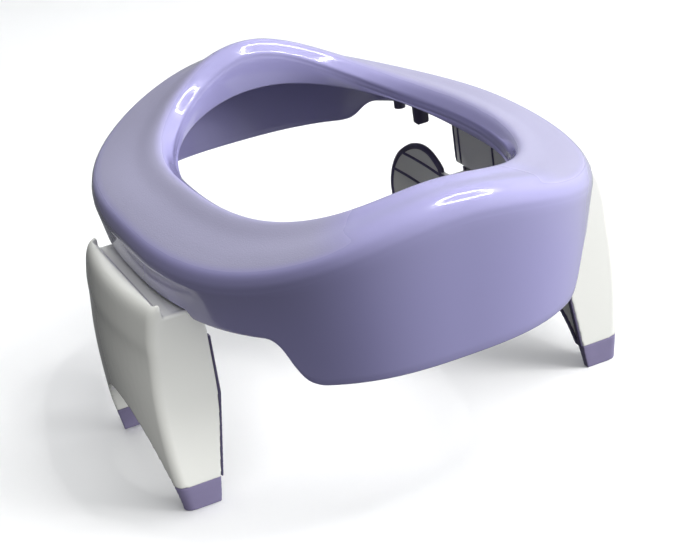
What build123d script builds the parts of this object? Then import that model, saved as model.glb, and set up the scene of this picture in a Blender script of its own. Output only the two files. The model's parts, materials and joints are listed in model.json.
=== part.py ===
"""Folding potty seat: a moulded ring with two humps, carried by two legs that fold in under it.

Frame: millimetres, +Z up, the origin on the floor under the middle of the ring. The long axis of the
ring runs along Y, with the splash skirt at the front (-Y). The legs stand at -X and +X and turn about
pins that run along Y.
"""

from build123d import *
import math
import os

# ---------------------------------------------------------------- driving dimensions
RING_HALF_WIDTH = 120.0
RING_HALF_LENGTH = 152.0
RING_POWER = 2.5
HOLE_HALF_WIDTH = 75.0
HOLE_HALF_LENGTH = 108.0
HOLE_CENTRE_Y = -10.0
HOLE_POWER = 2.5
SHELL = 2.6
WALL_DRAFT = 0.144
WALL_DRAFT_TOP = 148.0

SKIRT_FRONT_Z = 79.0
SKIRT_BACK_Z = 108.0
WALL_FRONT_Z = 105.5
WALL_SIDE_Z = 109.8
WALL_BACK_Z = 119.0
SKIRT_FRONT_HALF = 71.0
SKIRT_BACK_HALF = 67.0
SKIRT_SLANT = 13.0

LEG_CENTRE_Y = -10.0
LEG_HALF = 54.0
LEG_BULGE = 6.0
LEG_WALL = 3.0
LEG_CORNER = 5.0
LEG_INNER_TOP = 101.5
LEG_INNER_FLOOR = 110.5
LEG_INNER_KNEE = 60.0
TIP_HEIGHT = 14.0
ARCH_RADIUS = 49.5
CHANNEL_Z = 108.5
CHANNEL_END_Z = 108.9
RIDGE_X = 125.0

HINGE_X = 102.5
HINGE_Z = 101.5
KNUCKLE_R = 4.5
KNUCKLE_HALF = 7.0
KNUCKLE_OFFSET = 38.0
PIN_R = 1.75
PIN_CLEARANCE = 0.06
PIN_HEAD_R = 2.8
PIN_HEAD = 1.0
SIDE_GAP = 0.4
LUG = 4.0
LUG_HALF = 4.6
BASE_Z = 130.5
BASE = 3.0
BASE_INNER_X = 86.0
BASE_OUTER_X = 108.0

SCREW_X = 90.5
SCREW_SPREAD = 7.5
SCREW_R = 1.5
SCREW_LENGTH = 9.0
SCREW_HEAD_R = 3.0
SCREW_HEAD = 2.0
SCREW_CLEARANCE = 0.05
BOSS_R = 4.0

PANEL_X = 86.0
PANEL = 2.4
PANEL_TOP = 93.5
WEB_LOW = 62.0
WEB_HIGH = 91.0
COVER_X = 95.0
COVER = 1.6
COVER_LOW = 98.0
STOP_LOW = 120.5
STOP_X = 84.0
STOP_Y = 58.0
STOP_WIDTH = 8.0
STOP_DEPTH = 6.0
PEG_X = 86.0
PEG_Y = 90.0
PEG_R = 3.4
GRIP = 1.2
FAR = 400.0

OUT = "parts"
os.makedirs(OUT, exist_ok=True)


# ---------------------------------------------------------------- helpers
def squircle(half_x, half_y, power, centre_y, angle):
    """A point on a superellipse, at an angle measured on the stretched circle."""
    c, s = math.cos(angle), math.sin(angle)
    reach = (abs(c) ** power + abs(s) ** power) ** (-1.0 / power)
    return Vector(half_x * c * reach, centre_y + half_y * s * reach, 0)


def box_between(low, high):
    """A box from its lowest to its highest corner."""
    size = [b - a for a, b in zip(low, high)]
    middle = [(a + b) / 2 for a, b in zip(low, high)]
    return Pos(*middle) * Box(*size)


def rod_y(x, z, y_low, y_high, radius):
    """A round rod along Y."""
    return Pos(x, (y_low + y_high) / 2, z) * Rot(90, 0, 0) * Cylinder(radius, y_high - y_low)


def slab_y(points, y_low, y_high):
    """A flat outline given as (x, z) points, thick along Y."""
    outline = Polyline(*[(x, y_low, z) for x, z in points], close=True)
    return extrude(make_face(outline), y_high - y_low, dir=(0, 1, 0))


def mirrored(shape):
    """The same shape on the other side of the YZ plane."""
    return mirror(shape, about=Plane.YZ)


def save(node, shape):
    """Write one sub-part, as one solid or a group of solids."""
    solids = list(shape.solids())
    whole = solids[0] if len(solids) == 1 else Compound(children=solids)
    whole.label = node
    export_step(whole, f"{OUT}/{node}.step")


# ---------------------------------------------------------------- seat ring
def outer_edge_z(t):
    """Height of the ring's outer top edge."""
    return 148.7 - 11.9 * math.cos(2 * t) + 4.1 * math.cos(4 * t) + 1.1 * math.sin(t)


def inner_crest_z(t):
    """Height of the rolled edge round the hole."""
    wave = -10.9 * math.cos(2 * t) + 3.4 * math.cos(4 * t)
    return 158.0 + wave + 5.0 * math.sin(t) - 2.6 * math.sin(3 * t)


def collar_z(t):
    """Height of the collar's lower edge inside the hole."""
    return 143.7 - 8.4 * math.cos(2 * t) + 1.2 * math.cos(4 * t)


def ring_section(t):
    """One closed slice of the ring's shell, in the vertical plane from the hole to the outline."""
    inner = squircle(HOLE_HALF_WIDTH, HOLE_HALF_LENGTH, HOLE_POWER, HOLE_CENTRE_Y, t)
    outer = squircle(RING_HALF_WIDTH, RING_HALF_LENGTH, RING_POWER, 0, t)
    span = (outer - inner).length
    along = (outer - inner).normalized()
    edge, crest, collar = outer_edge_z(t), inner_crest_z(t), collar_z(t)
    rise = crest - edge
    low = SKIRT_FRONT_Z - 4
    lean = WALL_DRAFT * (WALL_DRAFT_TOP - low)

    def at(u, z):
        return inner + along * u + Vector(0, 0, z)

    top = [
        (span, edge - 13.0),
        (span - 0.3, edge - 8.0),
        (span - 3.2, edge - 2.8),
        (0.73 * span, edge + 0.10 * rise + 0.4),
        (0.46 * span, edge + 0.55 * rise),
        (0.20 * span, crest),
        (2.8, crest - 5.0),
        (1.4, crest - 8.5),
        (1.0, crest - 11.0),
    ]
    under = [
        (span - SHELL, edge - 13.0),
        (span - 0.3 - SHELL, edge - 8.4),
        (span - 3.2 - 0.72 * SHELL, edge - 2.8 - 0.72 * SHELL),
        (0.73 * span, edge + 0.10 * rise + 0.4 - SHELL),
        (0.46 * span, edge + 0.55 * rise - SHELL),
        (0.20 * span + 0.2, crest - SHELL),
        (2.8 + 0.85 * SHELL, crest - 5.0 - 0.5 * SHELL),
        (1.4 + SHELL, crest - 8.8),
        (1.0 + SHELL, crest - 11.0),
    ]
    top_edge = Edge.make_spline([at(*p) for p in top])
    under_edge = Edge.make_spline([at(*p) for p in reversed(under)])
    corners = [at(*top[-1]), at(0, collar), at(SHELL, collar), at(*under[-1])]
    collar_edges = [Edge.make_line(a, b) for a, b in zip(corners, corners[1:])]
    wall_corners = [
        at(*under[0]),
        at(span - SHELL - lean, low),
        at(span - lean, low),
        at(*top[0]),
    ]
    wall_edges = [Edge.make_line(a, b) for a, b in zip(wall_corners, wall_corners[1:])]
    return Wire([top_edge, *collar_edges, under_edge, *wall_edges])


def skirt_cutter(half, skirt_z, wall_z, y_low, y_high):
    """What is cut away under the wall on both sides of a skirt with slanted ends."""
    reach = RING_HALF_WIDTH + 20
    side = [
        (half, skirt_z),
        (half + 0.45 * SKIRT_SLANT, skirt_z + 0.22 * (wall_z - skirt_z)),
        (half + SKIRT_SLANT, wall_z),
        (reach, wall_z),
        (reach, 0),
        (0, 0),
        (0, skirt_z),
    ]
    return slab_y(side, y_low, y_high)


def below(shape, roof):
    """The part of a shape that lies under a shell, ending on the shell's underside."""
    pieces = (shape - roof).solids().sort_by(Axis.Z)
    return pieces[0]


def ring_half():
    """The +X half of the ring's shell, lofted through slices, with its lower edge cut."""
    overlap = math.radians(8)
    count = 18
    start, stop = -math.pi / 2 - overlap, math.pi / 2 + overlap
    angles = [start + (stop - start) * i / count for i in range(count + 1)]
    half = Solid.make_loft([ring_section(t) for t in angles], ruled=False)
    half = half & box_between((0, -FAR, 0), (FAR, FAR, FAR))
    y_front = LEG_CENTRE_Y - LEG_HALF - 2
    y_back = LEG_CENTRE_Y + LEG_HALF + 6
    half -= skirt_cutter(SKIRT_FRONT_HALF, SKIRT_FRONT_Z, WALL_FRONT_Z, -FAR, y_front)
    half -= box_between((60, y_front - 1, 0), (FAR, y_back + 1, WALL_SIDE_Z))
    half -= skirt_cutter(SKIRT_BACK_HALF, SKIRT_BACK_Z, WALL_BACK_Z, y_back, FAR)
    return half


def knuckle_centres():
    """Where the two hinge knuckles of the +X side stand along Y."""
    return [LEG_CENTRE_Y + side * KNUCKLE_OFFSET for side in (-1, 1)]


def screw_places():
    """Where the screws of the +X side stand, in plan."""
    return [(SCREW_X, y + step) for y in knuckle_centres() for step in (-SCREW_SPREAD, SCREW_SPREAD)]


def ring_with_bosses(half):
    """The half ring with a drilled boss over each hinge screw, and a stop block and peg behind them."""
    bossed = half
    for x, y in screw_places():
        boss = Pos(x, y, BASE_Z + BASE + 15) * Cylinder(BOSS_R, 30)
        bossed += below(boss, half)
    stop = box_between(
        (STOP_X - STOP_WIDTH / 2, STOP_Y - STOP_DEPTH / 2, STOP_LOW),
        (STOP_X + STOP_WIDTH / 2, STOP_Y + STOP_DEPTH / 2, FAR),
    )
    peg = Pos(PEG_X, PEG_Y, STOP_LOW + PEG_R + 15) * Cylinder(PEG_R, 30)
    peg += Pos(PEG_X, PEG_Y, STOP_LOW + PEG_R) * Sphere(PEG_R)
    bossed += below(stop, half)
    bossed += below(peg, half)
    for x, y in screw_places():
        hole = Cylinder(SCREW_R + SCREW_CLEARANCE, SCREW_LENGTH + 0.6)
        bossed -= Pos(x, y, BASE_Z + (SCREW_LENGTH + 0.6) / 2) * hole
    return bossed


# ---------------------------------------------------------------- legs
LEG_PROFILE = [
    (0.0, 129.0),
    (14.0, 131.0),
    (32.0, 132.8),
    (52.0, 133.5),
    (74.0, 132.8),
    (90.0, 131.6),
    (101.0, 130.6),
    (108.0, 129.2),
    (112.5, 127.4),
    (115.0, 125.0),
    (115.8, 122.0),
]


def leg_inner_x(z):
    """How far in the front and back walls of a leg reach, at a height."""
    drop = LEG_INNER_FLOOR - LEG_INNER_TOP
    return LEG_INNER_FLOOR - drop * min(z / LEG_INNER_KNEE, 1.0)


def leg_slice(z, outer_x, inset):
    """A level slice through the right leg: a bowed outside and two straight walls."""
    y_low = LEG_CENTRE_Y - LEG_HALF + inset
    y_high = LEG_CENTRE_Y + LEG_HALF - inset
    x_in = leg_inner_x(z) if inset == 0 else LEG_INNER_TOP - 15
    x_end = outer_x - inset
    x_middle = outer_x + LEG_BULGE - inset
    corner = max(LEG_CORNER - inset, 1.5)
    bow = ThreePointArc((x_end, y_low), (x_middle, LEG_CENTRE_Y), (x_end, y_high))
    rest = Polyline((x_end, y_high), (x_in, y_high), (x_in, y_low), (x_end, y_low))
    face = make_face([bow, rest])
    outer_corners = face.vertices().sort_by(Axis.X)[-2:]
    return Pos(0, 0, z) * fillet(outer_corners, corner)


def arch(grow):
    """The round opening between the two feet, as a cylinder along X."""
    radius = ARCH_RADIUS + grow
    return Pos(LEG_INNER_TOP, LEG_CENTRE_Y, 0) * Rot(0, 90, 0) * Cylinder(radius, LEG_INNER_TOP)


def leg_outside():
    """The whole outer form of the right leg, from the floor to its shoulder."""
    return loft([leg_slice(z, x, 0) for z, x in LEG_PROFILE])


def shoulder_channel():
    """What is cut from the top of the leg: a hollow between its ridge and the ring's wall."""
    y_front, y_back = [LEG_CENTRE_Y + side * (LEG_HALF + 1) for side in (-1, 1)]
    inner = LEG_INNER_TOP - 2
    ends = [
        (inner, FAR),
        (inner, CHANNEL_END_Z),
        (RIDGE_X - 3, CHANNEL_END_Z),
        (RIDGE_X, FAR),
    ]
    middle = [
        (inner, FAR),
        (inner, CHANNEL_Z),
        (RIDGE_X - 10, CHANNEL_Z),
        (RIDGE_X - 5, CHANNEL_Z + 1.3),
        (RIDGE_X - 1.5, CHANNEL_Z + 3.8),
        (RIDGE_X, CHANNEL_Z + 6.4),
        (RIDGE_X, FAR),
    ]
    inset = LEG_WALL + 1.5
    return slab_y(ends, y_front, y_back) + slab_y(middle, y_front + inset, y_back - inset)


def knuckle_neck(y_low, y_high):
    """The web that joins a knuckle to the leg's shoulder."""
    outline = [
        (HINGE_X, HINGE_Z - KNUCKLE_R),
        (HINGE_X + 20, HINGE_Z - KNUCKLE_R),
        (HINGE_X + 20, CHANNEL_Z - 0.5),
        (HINGE_X + 9, CHANNEL_Z - 0.5),
        (HINGE_X, HINGE_Z + KNUCKLE_R),
    ]
    return slab_y(outline, y_low, y_high)


def leg_shell(outside):
    """The white tray: outer panel, front and back walls, shoulder and a flange round the arch."""
    roof = CHANNEL_Z - LEG_WALL
    hollow = [(z, x) for z, x in LEG_PROFILE if z < roof - 2]
    hollow.append((roof, hollow[-1][1] - 1.5))
    cavity = loft([leg_slice(z, x, LEG_WALL) for z, x in hollow])
    tray = (outside - arch(0)) - (cavity - arch(LEG_WALL)) - shoulder_channel()
    tray -= box_between((0, -FAR, -5), (FAR, FAR, TIP_HEIGHT))
    y_front, y_back = [LEG_CENTRE_Y + side * (LEG_HALF - LEG_WALL) for side in (-1, 1)]
    tray -= box_between((0, y_front, HINGE_Z - 8), (HINGE_X + 6.5, y_back, FAR))
    for y in knuckle_centres():
        low, high = y - KNUCKLE_HALF, y + KNUCKLE_HALF
        tray += rod_y(HINGE_X, HINGE_Z, low, high, KNUCKLE_R) + knuckle_neck(low, high)
        tray -= rod_y(HINGE_X, HINGE_Z, low - 1, high + 1, PIN_R + PIN_CLEARANCE)
    return tray


def foot_tip(outside, side):
    """The soft boot under one foot of the right leg."""
    y = LEG_CENTRE_Y + side * LEG_HALF
    near = box_between((60, y - 20, -5), (200, y + 20, TIP_HEIGHT))
    return (outside - arch(0)) & near


def leg_grip(outside):
    """The soft strip along the free edges of the tray, as it runs round the walls and the arch."""
    y_front, y_back = [LEG_CENTRE_Y + side * LEG_HALF for side in (-1, 1)]
    top = HINGE_Z - 9
    outline = box_between((60, y_front, TIP_HEIGHT), (130, y_back, top)) - arch(0)
    opening = box_between(
        (60, y_front + LEG_WALL, TIP_HEIGHT + LEG_WALL),
        (130, y_back - LEG_WALL, top + 1),
    )
    frame = outline - (opening - arch(LEG_WALL))
    heights = [TIP_HEIGHT - 1, LEG_INNER_KNEE, top + 1]
    inner = [(leg_inner_x(z) - GRIP, z) for z in heights]
    outer = [(leg_inner_x(z) + GRIP, z) for z in reversed(heights)]
    return (frame & slab_y(inner + outer, -FAR, FAR)) - outside


# ---------------------------------------------------------------- inner guide panel of a leg
def guide_panel():
    """A white panel that hangs behind the hole's edge, on a web that lies on the leg's back wall."""
    x_low, x_high = PANEL_X - PANEL / 2, PANEL_X + PANEL / 2
    top = Polyline((x_low, 4, 84), (x_low, 4, PANEL_TOP), (x_low, 41, PANEL_TOP))
    sweep_round = [
        (41, PANEL_TOP),
        (48, 98.5),
        (57, 102),
        (69, 102),
        (83, 97.5),
        (98, 88.5),
        (109, 76),
        (113.5, 62),
        (109, 50),
        (94, 46),
        (66, 51),
        (40, 61),
        (18, 75),
        (4, 84),
    ]
    lower = Spline(*[(x_low, y, z) for y, z in sweep_round])
    panel = extrude(make_face([top, lower]), PANEL, dir=(1, 0, 0))
    y_wall = LEG_CENTRE_Y + LEG_HALF - LEG_WALL
    web = box_between((x_high, y_wall - LEG_WALL, WEB_LOW), (HINGE_X + 10, y_wall, WEB_HIGH))
    return panel + web


# ---------------------------------------------------------------- hinges under the ring
def hinge_bracket(y):
    """A clevis for one knuckle, with a base that is screwed up to the ring."""
    inner = KNUCKLE_HALF + SIDE_GAP
    outer = inner + LUG
    profile = [
        (HINGE_X - LUG_HALF, HINGE_Z),
        (HINGE_X - 0.7 * LUG_HALF, HINGE_Z - 0.75 * LUG_HALF),
        (HINGE_X, HINGE_Z - LUG_HALF),
        (HINGE_X + 0.7 * LUG_HALF, HINGE_Z - 0.75 * LUG_HALF),
        (HINGE_X + LUG_HALF, HINGE_Z),
        (HINGE_X + LUG_HALF, HINGE_Z + 16),
        (BASE_OUTER_X, BASE_Z),
        (HINGE_X - LUG_HALF, BASE_Z),
    ]
    bracket = box_between(
        (BASE_INNER_X, y - outer, BASE_Z), (BASE_OUTER_X, y + outer, BASE_Z + BASE)
    )
    bracket += slab_y(profile, y - outer, y - inner)
    bracket += slab_y(profile, y + inner, y + outer)
    bracket -= rod_y(HINGE_X, HINGE_Z, y - outer - 1, y + outer + 1, PIN_R)
    for step in (-SCREW_SPREAD, SCREW_SPREAD):
        hole = Cylinder(SCREW_R + SCREW_CLEARANCE, 4 * BASE)
        bracket -= Pos(SCREW_X, y + step, BASE_Z) * hole
    return bracket


def hinge_pin(y):
    """A headed pin through one knuckle; the head faces the middle of the leg."""
    reach = KNUCKLE_HALF + SIDE_GAP + LUG
    pin = rod_y(HINGE_X, HINGE_Z, y - reach, y + reach, PIN_R)
    towards = 1 if y < LEG_CENTRE_Y else -1
    low, high = sorted((y + towards * reach, y + towards * (reach + PIN_HEAD)))
    return pin + rod_y(HINGE_X, HINGE_Z, low, high, PIN_HEAD_R)


def bracket_screws():
    """The pan-head screws of the +X side, from below."""
    screws = []
    for x, y in screw_places():
        shank = Pos(x, y, BASE_Z + SCREW_LENGTH / 2) * Cylinder(SCREW_R, SCREW_LENGTH)
        head = Pos(x, y, BASE_Z - SCREW_HEAD / 2) * Cylinder(SCREW_HEAD_R, SCREW_HEAD)
        screws.append(shank + head)
    return screws


def hinge_cover(half):
    """A white plate in front of both hinges that hangs from the ring's underside."""
    reach = LEG_HALF - LEG_WALL - 0.7
    plate = box_between(
        (COVER_X, LEG_CENTRE_Y - reach, COVER_LOW),
        (COVER_X + COVER, LEG_CENTRE_Y + reach, FAR),
    )
    for y in knuckle_centres():
        outer = KNUCKLE_HALF + SIDE_GAP + LUG
        plate -= box_between((0, y - outer - 0.05, BASE_Z), (FAR, y + outer + 0.05, BASE_Z + BASE))
    return below(plate, half)


# ---------------------------------------------------------------- build
def build():
    """Write every sub-part; the left side is the right side mirrored."""
    half = ring_half()
    bossed = ring_with_bosses(half)
    save("seat_ring", bossed + mirrored(bossed))

    outside = leg_outside()
    front_y, back_y = knuckle_centres()
    sided = {
        "leg_shell": leg_shell(outside),
        "front_foot_tip": foot_tip(outside, -1),
        "back_foot_tip": foot_tip(outside, 1),
        "leg_grip": leg_grip(outside),
        "guide_panel": guide_panel(),
        "front_hinge_bracket": hinge_bracket(front_y),
        "back_hinge_bracket": hinge_bracket(back_y),
        "front_hinge_pin": hinge_pin(front_y),
        "back_hinge_pin": hinge_pin(back_y),
        "hinge_cover": hinge_cover(half),
    }
    for name, shape in sided.items():
        save(f"right_{name}", shape)
        save(f"left_{name}", mirrored(shape))
    screws = bracket_screws()
    save("hinge_screws", Compound(children=screws + [mirrored(screw) for screw in screws]))


build()
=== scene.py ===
"""The looks of a folding potty seat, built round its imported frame.

Lengths in the shape functions are millimetres and become metres where a mesh is made.
"""

import json
import math

import bmesh
import bpy
from mathutils import Matrix, Vector


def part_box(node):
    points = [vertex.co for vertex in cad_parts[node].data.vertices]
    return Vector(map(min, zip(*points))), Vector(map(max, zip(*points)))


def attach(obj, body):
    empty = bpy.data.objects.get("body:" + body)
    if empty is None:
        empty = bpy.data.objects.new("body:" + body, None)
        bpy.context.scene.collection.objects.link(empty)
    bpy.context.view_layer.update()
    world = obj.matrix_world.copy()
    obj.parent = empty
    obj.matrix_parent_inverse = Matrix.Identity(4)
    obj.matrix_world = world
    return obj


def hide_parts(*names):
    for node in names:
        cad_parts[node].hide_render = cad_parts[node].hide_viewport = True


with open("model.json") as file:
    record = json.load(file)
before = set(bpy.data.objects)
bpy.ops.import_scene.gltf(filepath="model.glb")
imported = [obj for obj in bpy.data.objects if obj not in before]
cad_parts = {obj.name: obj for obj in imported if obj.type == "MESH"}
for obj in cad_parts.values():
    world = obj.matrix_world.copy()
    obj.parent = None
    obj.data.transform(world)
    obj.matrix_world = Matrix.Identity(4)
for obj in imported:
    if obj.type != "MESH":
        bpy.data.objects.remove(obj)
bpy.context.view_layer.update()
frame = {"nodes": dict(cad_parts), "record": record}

MM = 0.001
NODES = frame["nodes"]

# ---------------------------------------------------------------- sizes of the ring
RING_HALF_WIDTH = 120.0
RING_HALF_LENGTH = 152.0
HOLE_HALF_WIDTH = 75.0
HOLE_HALF_LENGTH = 108.0
HOLE_CENTRE_Y = -10.0
OVAL_POWER = 2.5
SHELL = 2.6
WALL_DRAFT = 0.144
WALL_DRAFT_TOP = 148.0
SKIRT_FRONT_Z = 79.0
SKIRT_BACK_Z = 108.0
WALL_FRONT_Z = 105.5
WALL_SIDE_Z = 109.8
WALL_BACK_Z = 119.0
SKIRT_FRONT_HALF = 71.0
SKIRT_BACK_HALF = 67.0
SKIRT_SLANT = 13.0
LEG_CENTRE_Y = -10.0
LEG_HALF = 54.0
RIM_ROUND = 0.9
# how far under the outer top edge the wall's straight part ends
BEND = 13.0
# where the top's curve bends, as shares of the way from the hole to the outline
CREST_SHARE = 0.20
SLOPE_SHARE = 0.46
FLANK_SHARE = 0.73

# where the matt grain gives way to the gloss of a hump, as the sine of the place's angle
FRONT_HUMP_START = 0.80
BACK_HUMP_START = 0.88
HUMP_FADE = 0.13
# how much of the clear gloss is missing low on the wall, and over what depth it fades
SATIN_MOST = 0.8
SATIN_DEPTHS = (45, 8)

# the stop block and the catch peg of the +X side
STOP_LOW = (80.0, 55.0, 120.5)
STOP_HIGH = (88.0, 61.0, 144.6)
STOP_ROUND = 0.8
PEG_X = 86.0
PEG_Y = 90.0
PEG_R = 3.4
PEG_HEIGHTS = (120.6, 121.2, 122.2, 124.0, 130.0, 136.0, 142.6)

# ---------------------------------------------------------------- sizes of the added beads and ribs
GUIDE_OUTLINE = [(41, 93.5), (48, 98.5), (57, 102), (69, 102), (83, 97.5), (98, 88.5), (109, 76),
                 (113.5, 62), (109, 50), (94, 46), (66, 51), (40, 61), (18, 75), (4, 84)]
GUIDE_FLAT_END = 43
GUIDE_FLAT_Z = 91.4
GUIDE_BEAD_R = 1.9
GUIDE_BEAD_DEPTH = 0.9
GUIDE_RIB_R = 0.9
GUIDE_RIBS = ((91.0, 0.02), (73.0, 0.06))
GUIDE_RIB_BOW = 0.0012
GUIDE_RIB_PEAK = 60
COVER_RIB_Y = (-48.0, -6.0, 34.0, 39.6)
COVER_RIB_R = 0.75
COVER_RIB_STEP = 3.3

# ---------------------------------------------------------------- fineness of the meshes
RING_STEPS = 480
FINE_STEPS = 2880
WALL_STEPS = 16
CURVE_STEPS = 6
FIT_STEPS = 12


# ---------------------------------------------------------------- small helpers
def smooth_step(low, high, value):
    """0 below low, 1 above high, and an even ramp between them."""
    t = min(max((value - low) / (high - low), 0.0), 1.0)
    return t * t * (3 - 2 * t)


def new_object(name, vertices, faces):
    """A smooth-shaded mesh object from points in millimetres."""
    mesh = bpy.data.meshes.new(name)
    mesh.from_pydata([[c * MM for c in v] for v in vertices], [], faces)
    mesh.update()
    for polygon in mesh.polygons:
        polygon.use_smooth = True
    thing = bpy.data.objects.new(name, mesh)
    bpy.context.scene.collection.objects.link(thing)
    return thing


def add_attribute(thing, name, values):
    """One number at each vertex, for the materials to read."""
    layer = thing.data.attributes.new(name, "FLOAT", "POINT")
    layer.data.foreach_set("value", values)


def curve_through(points, steps):
    """Points on a smooth curve through all the given ones."""
    ends = [2 * points[0] - points[1]] + list(points) + [2 * points[-1] - points[-2]]
    line = []
    for a, b, c, d in zip(ends, ends[1:], ends[2:], ends[3:]):
        for i in range(steps):
            t = i / steps
            line.append(
                0.5 * (2 * b + (c - a) * t + (2 * a - 5 * b + 4 * c - d) * t * t
                       + (3 * b - a - 3 * c + d) * t ** 3)
            )
    line.append(points[-1].copy())
    return line


def settle(thing, body, slot, *nodes):
    """Give a finished piece its material, its body and the nodes it stands for."""
    thing.data.materials.clear()
    thing.data.materials.append(MATERIALS[slot])
    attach(thing, body)
    if nodes:
        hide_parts(*nodes)
    return thing


# ---------------------------------------------------------------- the ring's form
def oval(half_x, half_y, centre_y, t):
    """A point on one of the ring's two ovals."""
    c, s = math.cos(t), math.sin(t)
    reach = (abs(c) ** OVAL_POWER + abs(s) ** OVAL_POWER) ** (-1.0 / OVAL_POWER)
    return Vector((half_x * c * reach, centre_y + half_y * s * reach, 0))


def outer_edge_z(t):
    """Height of the ring's outer top edge."""
    return 148.7 - 11.9 * math.cos(2 * t) + 4.1 * math.cos(4 * t) + 1.1 * math.sin(t)


def inner_crest_z(t):
    """Height of the rolled edge round the hole."""
    wave = -10.9 * math.cos(2 * t) + 3.4 * math.cos(4 * t)
    return 158.0 + wave + 5.0 * math.sin(t) - 2.6 * math.sin(3 * t)


def collar_z(t):
    """Height of the collar's lower edge inside the hole."""
    return 143.7 - 8.4 * math.cos(2 * t) + 1.2 * math.cos(4 * t)


def skirt_edge(x, half, skirt_z, wall_z):
    """Lower edge of a skirt with slanted ends, before its corners are rounded."""
    corners = [(half, skirt_z), (half + 0.45 * SKIRT_SLANT, skirt_z + 0.22 * (wall_z - skirt_z)),
               (half + SKIRT_SLANT, wall_z)]
    if x <= half:
        return skirt_z
    for (x0, z0), (x1, z1) in zip(corners, corners[1:]):
        if x <= x1:
            return z0 + (z1 - z0) * (x - x0) / (x1 - x0)
    return wall_z


def rounded_skirt_edge(x, half, skirt_z, wall_z):
    """The same edge with round corners: the mean of its neighbourhood."""
    spread = [-4, -3, -2, -1, 0, 1, 2, 3, 4]
    return sum(skirt_edge(x + s, half, skirt_z, wall_z) for s in spread) / len(spread)


def wall_low_z(x, y):
    """Lower edge of the ring's outer wall at a place in plan."""
    x = abs(x)
    front = rounded_skirt_edge(x, SKIRT_FRONT_HALF, SKIRT_FRONT_Z, WALL_FRONT_Z)
    back = rounded_skirt_edge(x, SKIRT_BACK_HALF, SKIRT_BACK_Z, WALL_BACK_Z)
    y_front = LEG_CENTRE_Y - LEG_HALF - 2
    y_back = LEG_CENTRE_Y + LEG_HALF + 6
    low = front + (WALL_SIDE_Z - front) * smooth_step(y_front - 3, y_front + 1, y)
    return low + (back - low) * smooth_step(y_back - 2, y_back + 4, y)


class Slice:
    """One vertical slice of the ring, from the hole to the outline."""

    def __init__(self, t):
        self.inner = oval(HOLE_HALF_WIDTH, HOLE_HALF_LENGTH, HOLE_CENTRE_Y, t)
        outer = oval(RING_HALF_WIDTH, RING_HALF_LENGTH, 0, t)
        self.span = (outer - self.inner).length
        self.along = (outer - self.inner).normalized()
        self.edge = outer_edge_z(t)
        self.crest = inner_crest_z(t)
        self.collar = collar_z(t)
        self.wall_low = self.find_low()

    def at(self, u, z):
        return self.inner + self.along * u + Vector((0, 0, z))

    def wall_u(self, z):
        """How far out the wall's outer face is at a height."""
        top, low = self.edge - BEND, SKIRT_FRONT_Z - 4
        lean = WALL_DRAFT * (WALL_DRAFT_TOP - low)
        return self.span - lean * (top - z) / (top - low)

    def find_low(self):
        """Where the wall's lower edge lies on this slice."""
        z = 100.0
        for _ in range(FIT_STEPS):
            place = self.at(self.wall_u(z), z)
            z = wall_low_z(place.x, place.y)
        return z

    def surfaces(self):
        """The top and the under line, each from the wall to the collar."""
        span, edge, crest = self.span, self.edge, self.crest
        rise = crest - edge
        top = [(span, edge - BEND), (span - 0.3, edge - 8.0), (span - 3.2, edge - 2.8),
               (FLANK_SHARE * span, edge + 0.10 * rise + 0.4), (SLOPE_SHARE * span, edge + 0.55 * rise),
               (CREST_SHARE * span, crest), (2.8, crest - 5.0), (1.4, crest - 8.5), (1.0, crest - 11.0)]
        under = [(span - SHELL, edge - BEND), (span - 0.3 - SHELL, edge - 8.4),
                 (span - 3.2 - 0.72 * SHELL, edge - 2.8 - 0.72 * SHELL),
                 (FLANK_SHARE * span, edge + 0.10 * rise + 0.4 - SHELL),
                 (SLOPE_SHARE * span, edge + 0.55 * rise - SHELL), (CREST_SHARE * span + 0.2, crest - SHELL),
                 (2.8 + 0.85 * SHELL, crest - 5.0 - 0.5 * SHELL), (1.4 + SHELL, crest - 8.8),
                 (1.0 + SHELL, crest - 11.0)]
        return [curve_through([Vector((u, z)) for u, z in line], CURVE_STEPS)
                for line in (top, under)]

    def outline(self):
        """The whole closed outline as (u, z, how far over the top the point lies)."""
        top, under = self.surfaces()
        low, r = self.wall_low, RIM_ROUND
        wall_top = self.edge - BEND
        heights = [low + r + (wall_top - low - r) * i / WALL_STEPS for i in range(WALL_STEPS)]
        points = [(self.wall_u(z), z, -1.0) for z in heights]
        points += [(p.x, p.y, p.x / self.span) for p in top]
        points += [(0.0, self.collar + r, -1.0), *rim(0.0, SHELL, self.collar, r)]
        points += [(SHELL, self.collar + r, -1.0)]
        points += [(p.x, p.y, -1.0) for p in reversed(under)]
        points += [(self.wall_u(z) - SHELL, z, -1.0) for z in reversed(heights)]
        foot = self.wall_u(low)
        points += rim(foot - SHELL, foot, low, r)
        return points


def rim(u_from, u_to, z, r):
    """The middle points of a lower edge with both its corners rounded."""
    step = math.copysign(r, u_to - u_from)
    return [(u_from + 0.3 * step, z + 0.3 * r, -1.0), (u_from + step, z, -1.0),
            (u_to - step, z, -1.0), (u_to - 0.3 * step, z + 0.3 * r, -1.0)]


def even_angles(count):
    """Angles spread so that the points of the lower edge are evenly far apart."""
    marks = [0.0]
    slices = [Slice(2 * math.pi * i / FINE_STEPS) for i in range(FINE_STEPS + 1)]
    places = [s.at(s.wall_u(s.wall_low), s.wall_low) for s in slices]
    for a, b in zip(places, places[1:]):
        marks.append(marks[-1] + (b - a).length)
    angles, i = [], 0
    for k in range(count):
        goal = marks[-1] * k / count
        while marks[i + 1] < goal:
            i += 1
        share = (goal - marks[i]) / (marks[i + 1] - marks[i])
        angles.append(2 * math.pi * (i + share) / FINE_STEPS)
    return angles


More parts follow.
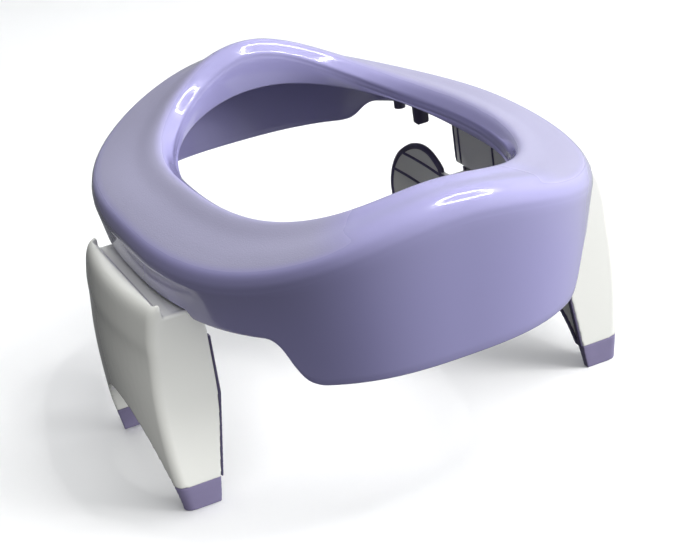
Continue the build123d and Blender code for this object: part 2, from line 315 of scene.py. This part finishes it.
def grain_amount(t, share):
    """How much of the matt grain lies at a place on top: full on the flanks, none on the humps."""
    if share < 0:
        return 0.0
    reach = abs(math.sin(t)) - 0.16 * (share - 0.5) ** 2
    limit = FRONT_HUMP_START if math.sin(t) < 0 else BACK_HUMP_START
    flank = 1 - smooth_step(limit, limit + HUMP_FADE, reach)
    return flank * smooth_step(0.10, 0.26, share) * (1 - smooth_step(0.84, 0.95, share))


def satin_amount(edge, z):
    """How much duller the gloss is at a height: most at the foot of the wall, none on top."""
    deep, shallow = SATIN_DEPTHS
    return SATIN_MOST * (1 - smooth_step(edge - deep, edge - shallow, z))


def build_ring():
    """The seat ring: one closed shell with smooth flow from the wall over the top to the collar."""
    angles = even_angles(RING_STEPS)
    vertices, grain, satin = [], [], []
    for t in angles:
        piece = Slice(t)
        outline = piece.outline()
        vertices += [piece.at(u, z) for u, z, _ in outline]
        grain += [grain_amount(t, share) for _, _, share in outline]
        satin += [satin_amount(piece.edge, z) for _, z, _ in outline]
    around = len(vertices) // len(angles)
    faces = []
    for i in range(len(angles)):
        j = (i + 1) % len(angles)
        for k in range(around):
            m = (k + 1) % around
            faces.append((i * around + k, i * around + m, j * around + m, j * around + k))
    ring = new_object("seat_ring_shell", vertices, faces)
    add_attribute(ring, "grain", grain)
    add_attribute(ring, "satin", satin)
    return ring


# ---------------------------------------------------------------- rounded copies of CAD nodes
def rounded_copy(node, name, voxel, passes):
    """A CAD node's form as an even fine mesh that lies on the node's faces, with its edges rounded."""
    source = NODES[node]
    thing = bpy.data.objects.new(name, source.data.copy())
    bpy.context.scene.collection.objects.link(thing)
    remesh = thing.modifiers.new("even", "REMESH")
    remesh.mode = "VOXEL"
    remesh.voxel_size = voxel * MM
    wrap = thing.modifiers.new("onto_faces", "SHRINKWRAP")
    wrap.target = source
    smooth = thing.modifiers.new("round_edges", "SMOOTH")
    smooth.factor = 0.5
    smooth.iterations = passes
    graph = bpy.context.evaluated_depsgraph_get()
    mesh = bpy.data.meshes.new_from_object(thing.evaluated_get(graph))
    thing.modifiers.clear()
    thing.data = mesh
    for polygon in mesh.polygons:
        polygon.use_smooth = True
    return thing


def tube(name, points, radius, closed=False, sides=10):
    """A round bead that follows points in millimetres."""
    count = len(points)
    vertices, faces = [], []
    for i, point in enumerate(points):
        before = points[(i - 1) % count] if closed or i else point
        after = points[(i + 1) % count] if closed or i < count - 1 else point
        forward = (after - before).normalized()
        side = forward.cross(Vector((1, 0, 0))).normalized()
        other = forward.cross(side)
        end = 0.55 if not closed and i in (0, count - 1) else 1.0
        for k in range(sides):
            a = 2 * math.pi * k / sides
            vertices.append(point + (side * math.cos(a) + other * math.sin(a)) * radius * end)
    for i in range(count if closed else count - 1):
        j = (i + 1) % count
        for k in range(sides):
            m = (k + 1) % sides
            faces.append((i * sides + k, i * sides + m, j * sides + m, j * sides + k))
    if not closed:
        faces.append(tuple(range(sides)))
        faces.append(tuple(reversed(range((count - 1) * sides, count * sides))))
    thing = new_object(name, vertices, faces)
    tidy_normals(thing)
    return thing


def tidy_normals(thing):
    """Turn every face outward."""
    mesh = bmesh.new()
    mesh.from_mesh(thing.data)
    bmesh.ops.recalc_face_normals(mesh, faces=mesh.faces)
    mesh.to_mesh(thing.data)
    mesh.free()


# ---------------------------------------------------------------- beads on the guide panel and cover
def guide_edge():
    """The guide panel's outline as (y, z) points, all the way round."""
    line = curve_through([Vector(p) for p in GUIDE_OUTLINE], CURVE_STEPS)
    line = [Vector((p.x, min(p.y, GUIDE_FLAT_Z))) if p.x < GUIDE_FLAT_END else p for p in line]
    return line + [Vector((4, 87.5)), Vector((6, GUIDE_FLAT_Z)), Vector((24, GUIDE_FLAT_Z))]


def inside(outline, y, z):
    """Whether a point lies inside a closed outline."""
    within = False
    for a, b in zip(outline, outline[1:] + outline[:1]):
        if (a.y > z) != (b.y > z) and y < a.x + (b.x - a.x) * (z - a.y) / (b.y - a.y):
            within = not within
    return within


def build_guide_beads(side, sign):
    """The soft bead round a guide panel and the two ribs along it, each on its inner face."""
    low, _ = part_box("right_guide_panel")
    face_x = low.x / MM
    outline = guide_edge()
    edge = [Vector((sign * (face_x + GUIDE_BEAD_DEPTH), y, z)) for y, z in outline]
    beads = [tube("bead", edge, GUIDE_BEAD_R, True)]
    for start, slope in GUIDE_RIBS:
        line = []
        for y in range(4, 115, 2):
            z = start + slope * y - GUIDE_RIB_BOW * (y - GUIDE_RIB_PEAK) ** 2
            if inside(outline, y, z):
                line.append(Vector((sign * face_x, y, z)))
        beads.append(tube("rib", line, GUIDE_RIB_R))
    return join_as(f"{side}_guide_beads", beads)


def build_cover_ribs(side, sign):
    """The thin upright ribs on the inner face of a hinge cover."""
    low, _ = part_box("right_hinge_cover")
    face_x, foot_z = low.x / MM, low.z / MM + 0.8
    ribs = []
    for y in COVER_RIB_Y:
        line = [Vector((sign * face_x, y, foot_z + i * COVER_RIB_STEP)) for i in range(12)]
        ribs.append(tube("rib", line, COVER_RIB_R))
    return join_as(f"{side}_cover_ribs", ribs)


def build_ring_stops(side, sign):
    """The stop block and the round catch peg that hang from the ring's underside."""
    (x_low, y_low, z_low), (x_high, y_high, z_high) = STOP_LOW, STOP_HIGH
    corners = [(x_low, y_low), (x_high, y_low), (x_high, y_high), (x_low, y_high)]
    vertices = [(sign * x, y, z) for z in (z_low, z_high) for x, y in corners]
    faces = [(3, 2, 1, 0), (4, 5, 6, 7), (0, 1, 5, 4), (1, 2, 6, 5), (2, 3, 7, 6), (3, 0, 4, 7)]
    block = new_object("block", vertices, faces)
    mesh = bmesh.new()
    mesh.from_mesh(block.data)
    bmesh.ops.bevel(mesh, geom=mesh.edges, offset=STOP_ROUND * MM, segments=3, affect="EDGES")
    mesh.to_mesh(block.data)
    mesh.free()
    peg = tube("peg", [Vector((sign * PEG_X, PEG_Y, z)) for z in PEG_HEIGHTS], PEG_R, sides=20)
    whole = join_as(f"{side}_ring_stops", [block, peg])
    tidy_normals(whole)
    return whole


def join_as(name, things):
    """Several mesh objects as one."""
    joined = bmesh.new()
    for thing in things:
        joined.from_mesh(thing.data)
        bpy.data.objects.remove(thing)
    mesh = bpy.data.meshes.new(name)
    joined.to_mesh(mesh)
    joined.free()
    for polygon in mesh.polygons:
        polygon.use_smooth = True
    whole = bpy.data.objects.new(name, mesh)
    bpy.context.scene.collection.objects.link(whole)
    return whole


# ---------------------------------------------------------------- materials
def start_material(name, roughness):
    """An empty node material with its shader, and a function that adds and links nodes."""
    material = bpy.data.materials.new(name)
    material.use_nodes = True
    tree = material.node_tree
    shader = tree.nodes["Principled BSDF"]
    shader.inputs["Roughness"].default_value = roughness

    def add(kind, links=(), **settings):
        node = tree.nodes.new(kind)
        for key, value in settings.items():
            if hasattr(node, key):
                setattr(node, key, value)
            else:
                node.inputs[key.replace("_", " ")].default_value = value
        for socket, source in links:
            tree.links.new(source, node.inputs[socket])
        return node

    return material, tree, shader, add


def moulded_plastic(name, colour, dull_colour, roughness, grain):
    """Glossy moulded plastic, matt or satin where the mesh's grain and satin attributes ask for it."""
    material, tree, shader, add = start_material(name, roughness)
    place = add("ShaderNodeTexCoord").outputs["Object"]
    cloud = add("ShaderNodeTexNoise", [("Vector", place)], Scale=22.0, Detail=4.0)
    mask = add("ShaderNodeAttribute", attribute_name="grain").outputs["Fac"]
    tint = add("ShaderNodeMix", data_type="RGBA", blend_type="MIX")
    tint.inputs["A"].default_value = (*colour, 1)
    tint.inputs["B"].default_value = (*dull_colour, 1)
    tree.links.new(mask, tint.inputs["Factor"])
    vary = add("ShaderNodeMix", data_type="RGBA", blend_type="MULTIPLY")
    ramp = add("ShaderNodeMapRange", [("Value", cloud.outputs["Fac"])], To_Min=0.0, To_Max=0.16)
    vary.inputs["B"].default_value = (0.80, 0.80, 0.84, 1)
    tree.links.new(ramp.outputs["Result"], vary.inputs["Factor"])
    tree.links.new(tint.outputs["Result"], vary.inputs["A"])
    tree.links.new(vary.outputs["Result"], shader.inputs["Base Color"])

    smear = add("ShaderNodeTexNoise", [("Vector", place)], Scale=60.0, Detail=6.0)
    spread = {"To_Min": roughness - 0.05, "To_Max": roughness + 0.07}
    rough = add("ShaderNodeMapRange", [("Value", smear.outputs["Fac"])], **spread)
    dull = add("ShaderNodeMix", [("A", rough.outputs["Result"])], data_type="FLOAT")
    dull.inputs["B"].default_value = 0.62
    tree.links.new(mask, dull.inputs["Factor"])
    tree.links.new(dull.outputs["Result"], shader.inputs["Roughness"])

    satin = add("ShaderNodeAttribute", attribute_name="satin").outputs["Fac"]
    bare = add("ShaderNodeMath", [(0, mask), (1, satin)], operation="ADD")
    polish = add("ShaderNodeMath", [(1, bare.outputs[0])], operation="SUBTRACT", use_clamp=True)
    polish.inputs[0].default_value = 1.0
    tree.links.new(polish.outputs[0], shader.inputs["Coat Weight"])
    shader.inputs["Coat Roughness"].default_value = 0.035

    pits = add("ShaderNodeTexNoise", [("Vector", place)], Scale=1500.0, Detail=3.0)
    waves = add("ShaderNodeTexNoise", [("Vector", place)], Scale=14.0, Detail=1.0)
    grain_bump = add("ShaderNodeMath", operation="MULTIPLY")
    tree.links.new(pits.outputs["Fac"], grain_bump.inputs[0])
    tree.links.new(mask, grain_bump.inputs[1])
    scaled = add("ShaderNodeMath", operation="MULTIPLY_ADD")
    scaled.inputs[1].default_value = grain
    tree.links.new(grain_bump.outputs[0], scaled.inputs[0])
    wave_height = add("ShaderNodeMath", operation="MULTIPLY")
    wave_height.inputs[1].default_value = 0.6
    tree.links.new(waves.outputs["Fac"], wave_height.inputs[0])
    tree.links.new(wave_height.outputs[0], scaled.inputs[2])
    bump = add("ShaderNodeBump", [("Height", scaled.outputs[0])], Strength=0.35, Distance=0.0004)
    tree.links.new(bump.outputs["Normal"], shader.inputs["Normal"])
    return material


def soft_rubber(name, colour, roughness):
    """Satin moulded rubber with a fine even grain and slight rubbing marks."""
    material, tree, shader, add = start_material(name, roughness)
    place = add("ShaderNodeTexCoord").outputs["Object"]
    cloud = add("ShaderNodeTexNoise", [("Vector", place)], Scale=90.0, Detail=5.0)
    ramp = add("ShaderNodeValToRGB", [("Fac", cloud.outputs["Fac"])])
    ramp.color_ramp.elements[0].color = (*[c * 0.86 for c in colour], 1)
    ramp.color_ramp.elements[1].color = (*[min(c * 1.12, 1) for c in colour], 1)
    tree.links.new(ramp.outputs["Color"], shader.inputs["Base Color"])
    pits = add("ShaderNodeTexNoise", [("Vector", place)], Scale=1800.0, Detail=2.0)
    bump = add("ShaderNodeBump", [("Height", pits.outputs["Fac"])], Strength=0.4, Distance=0.0001)
    tree.links.new(bump.outputs["Normal"], shader.inputs["Normal"])
    return material


def plated_steel(name):
    """Zinc-plated drawn steel with fine turning marks."""
    material, tree, shader, add = start_material(name, 0.34)
    shader.inputs["Metallic"].default_value = 1.0
    place = add("ShaderNodeTexCoord").outputs["Object"]
    cloud = add("ShaderNodeTexNoise", [("Vector", place)], Scale=900.0, Detail=3.0)
    ramp = add("ShaderNodeValToRGB", [("Fac", cloud.outputs["Fac"])])
    ramp.color_ramp.elements[0].color = (0.42, 0.42, 0.44, 1)
    ramp.color_ramp.elements[1].color = (0.72, 0.72, 0.75, 1)
    tree.links.new(ramp.outputs["Color"], shader.inputs["Base Color"])
    return material


# ---------------------------------------------------------------- stage
FLOOR_HALF = 4000
MIDDLE = (0, 0, 0.1)
CAMERA_PLACE = (-298.20, -759.90, 445.22)
CAMERA_AZIMUTH = -22.1
CAMERA_ELEVATION = 24.8
CAMERA_ROLL = -8.2
CAMERA_LENS = 83.97
CAMERA_SHIFT = -0.019


def build_camera():
    """The camera at the viewing angle: left of the front, raised, and rolled."""
    azimuth, elevation = math.radians(CAMERA_AZIMUTH), math.radians(CAMERA_ELEVATION)
    roll = math.radians(CAMERA_ROLL)
    back = Vector((math.sin(azimuth) * math.cos(elevation), -math.cos(azimuth) * math.cos(elevation),
                   math.sin(elevation)))
    right = Vector((math.cos(azimuth), math.sin(azimuth), 0))
    up = back.cross(right)
    turned_right = right * math.cos(roll) + up * math.sin(roll)
    turned_up = up * math.cos(roll) - right * math.sin(roll)
    camera = bpy.data.objects.new("camera", bpy.data.cameras.new("camera"))
    bpy.context.scene.collection.objects.link(camera)
    turn = Matrix((turned_right, turned_up, back)).transposed().to_4x4()
    camera.matrix_world = Matrix.Translation(Vector(CAMERA_PLACE) * MM) @ turn
    camera.data.sensor_width = 36.0
    camera.data.lens = CAMERA_LENS
    camera.data.shift_x = CAMERA_SHIFT
    camera.data.clip_start = 0.01
    bpy.context.scene.camera = camera


def hang(name, lamp, place, aim):
    """Put a lamp at a place so that it faces a point, with no mirror image of it in the gloss."""
    holder = bpy.data.objects.new(name, lamp)
    bpy.context.scene.collection.objects.link(holder)
    holder.location = place
    holder.rotation_euler = facing(place, aim)
    holder.visible_glossy = False


def facing(place, aim):
    """The turn that points an object's -Z from one place to another."""
    return (Vector(aim) - Vector(place)).to_track_quat("-Z", "Y").to_euler()


def area_light(name, place, aim, size, power):
    """A soft rectangular lamp that faces a point."""
    lamp = bpy.data.lights.new(name, "AREA")
    lamp.shape = "RECTANGLE"
    lamp.size, lamp.size_y = size
    lamp.energy = power
    hang(name, lamp, place, aim)


def spot_light(name, place, aim, angle, power):
    """A narrow soft-edged lamp that faces a point."""
    lamp = bpy.data.lights.new(name, "SPOT")
    lamp.spot_size = math.radians(angle)
    lamp.spot_blend = 1.0
    lamp.shadow_soft_size = 0.06
    lamp.energy = power
    hang(name, lamp, place, aim)


def ring_lamp(place, aim, radius, thickness, strength):
    """A thin ring-shaped lamp, the source of the fine bright lines on the gloss."""
    bpy.ops.mesh.primitive_torus_add(major_radius=radius, minor_radius=thickness, major_segments=96)
    ring = bpy.context.object
    ring.name = "ring_lamp"
    ring.location = place
    ring.rotation_euler = facing(place, aim)
    ring.visible_camera = False
    material, _, shader, _ = start_material("lamp_glow", 0.5)
    shader.inputs["Base Color"].default_value = (0, 0, 0, 1)
    shader.inputs["Emission Color"].default_value = (1, 1, 1, 1)
    shader.inputs["Emission Strength"].default_value = strength
    ring.data.materials.append(material)


def build_world():
    """Soft light that is dim on the left and bright on the right; the backdrop is pale."""
    world = bpy.data.worlds.new("world")
    world.use_nodes = True
    tree = world.node_tree
    output = tree.nodes["World Output"]
    soft = tree.nodes["Background"]
    place = tree.nodes.new("ShaderNodeTexCoord")
    along = tree.nodes.new("ShaderNodeVectorMath")
    along.operation = "DOT_PRODUCT"
    along.inputs[1].default_value = Vector((0.84, -0.18, 0.50)).normalized()
    ramp = tree.nodes.new("ShaderNodeMapRange")
    ramp.inputs["From Min"].default_value = -0.40
    ramp.inputs["From Max"].default_value = 0.95
    ramp.inputs["To Min"].default_value = 0.09
    ramp.inputs["To Max"].default_value = 1.10
    tree.links.new(place.outputs["Generated"], along.inputs[0])
    tree.links.new(along.outputs["Value"], ramp.inputs["Value"])
    tree.links.new(ramp.outputs["Result"], soft.inputs["Strength"])
    soft.inputs["Color"].default_value = (0.96, 0.98, 1.0, 1)
    backdrop = tree.nodes.new("ShaderNodeBackground")
    backdrop.inputs["Color"].default_value = (0.93, 0.93, 0.93, 1)
    mix = tree.nodes.new("ShaderNodeMixShader")
    seen = tree.nodes.new("ShaderNodeLightPath")
    tree.links.new(seen.outputs["Is Camera Ray"], mix.inputs["Fac"])
    tree.links.new(soft.outputs["Background"], mix.inputs[1])
    tree.links.new(backdrop.outputs["Background"], mix.inputs[2])
    tree.links.new(mix.outputs["Shader"], output.inputs["Surface"])
    bpy.context.scene.world = world


def build_stage():
    """A pale floor, soft lamps and a pale surrounding."""
    far = FLOOR_HALF
    corners = [(-far, -far, 0), (far, -far, 0), (far, far, 0), (-far, far, 0)]
    floor = new_object("floor", corners, [(0, 1, 2, 3)])
    material, tree, shader, add = start_material("pale_floor", 0.75)
    place = add("ShaderNodeTexCoord").outputs["Object"]
    cloud = add("ShaderNodeTexNoise", [("Vector", place)], Scale=2.0)
    ramp = add("ShaderNodeValToRGB", [("Fac", cloud.outputs["Fac"])])
    ramp.color_ramp.elements[0].color = (0.88, 0.88, 0.88, 1)
    ramp.color_ramp.elements[1].color = (0.91, 0.91, 0.91, 1)
    tree.links.new(ramp.outputs["Color"], shader.inputs["Base Color"])
    floor.data.materials.append(material)
    floor.visible_diffuse = False
    floor.visible_glossy = False
    build_world()
    area_light("key", (0.90, -0.85, 0.55), MIDDLE, (0.5, 0.5), 12)
    area_light("top", (-0.1, 0.2, 1.6), MIDDLE, (1.0, 1.0), 9)
    # a low lamp from the left, for the left leg's front and outer faces
    spot_light("leg_fill", (-0.75, -1.00, 0.12), (-0.125, -0.05, 0.045), 10, 22)
    ring_lamp((0.60, -0.22, 1.25), (0.03, -0.05, 0.16), 0.30, 0.008, 110)
    bpy.context.scene.view_settings.view_transform = "Standard"


# ---------------------------------------------------------------- build
LILAC = (0.300, 0.284, 0.515)
DULL_LILAC = (0.295, 0.286, 0.400)
WHITE = (0.86, 0.86, 0.81)
BOOT_LILAC = (0.215, 0.190, 0.320)
PLUM = (0.085, 0.072, 0.140)

MATERIALS = {
    "lilac_seat": moulded_plastic("lilac_seat", LILAC, DULL_LILAC, 0.16, 1.0),
    "white_shell": moulded_plastic("white_shell", WHITE, WHITE, 0.12, 0.0),
    "lilac_rubber": soft_rubber("lilac_rubber", BOOT_LILAC, 0.40),
    "plum_rubber": soft_rubber("plum_rubber", PLUM, 0.45),
    "steel": plated_steel("steel"),
}
SIDES = (("left", -1), ("right", 1))
# CAD node, visible piece, material, voxel in millimetres, smoothing passes
ROUNDED = [
    ("leg_shell", "leg_tray", "white_shell", 1.0, 2),
    ("front_foot_tip", "front_foot_boot", "lilac_rubber", 0.5, 14),
    ("back_foot_tip", "back_foot_boot", "lilac_rubber", 0.5, 14),
    ("leg_grip", "leg_bead", "plum_rubber", 0.5, 2),
]

for row in frame["record"]["subparts"]:
    node = NODES[row["node"]]
    node.data.materials.clear()
    node.data.materials.append(MATERIALS[row["material_slot"]])

settle(build_ring(), "seat", "lilac_seat", "seat_ring")
for side, sign in SIDES:
    # painted shade: the stop block and the peg are moulded on the lilac ring, but they take the dark plum
    # rubber, whose dark colour paints the shade that lies on them under the ring
    settle(build_ring_stops(side, sign), "seat", "plum_rubber")
for side, sign in SIDES:
    for node, name, slot, voxel, passes in ROUNDED:
        piece = rounded_copy(f"{side}_{node}", f"{side}_{name}", voxel, passes)
        settle(piece, f"{side}_leg", slot, f"{side}_{node}")
    settle(build_guide_beads(side, sign), f"{side}_leg", "plum_rubber")
    settle(build_cover_ribs(side, sign), "seat", "plum_rubber")

build_stage()
build_camera()
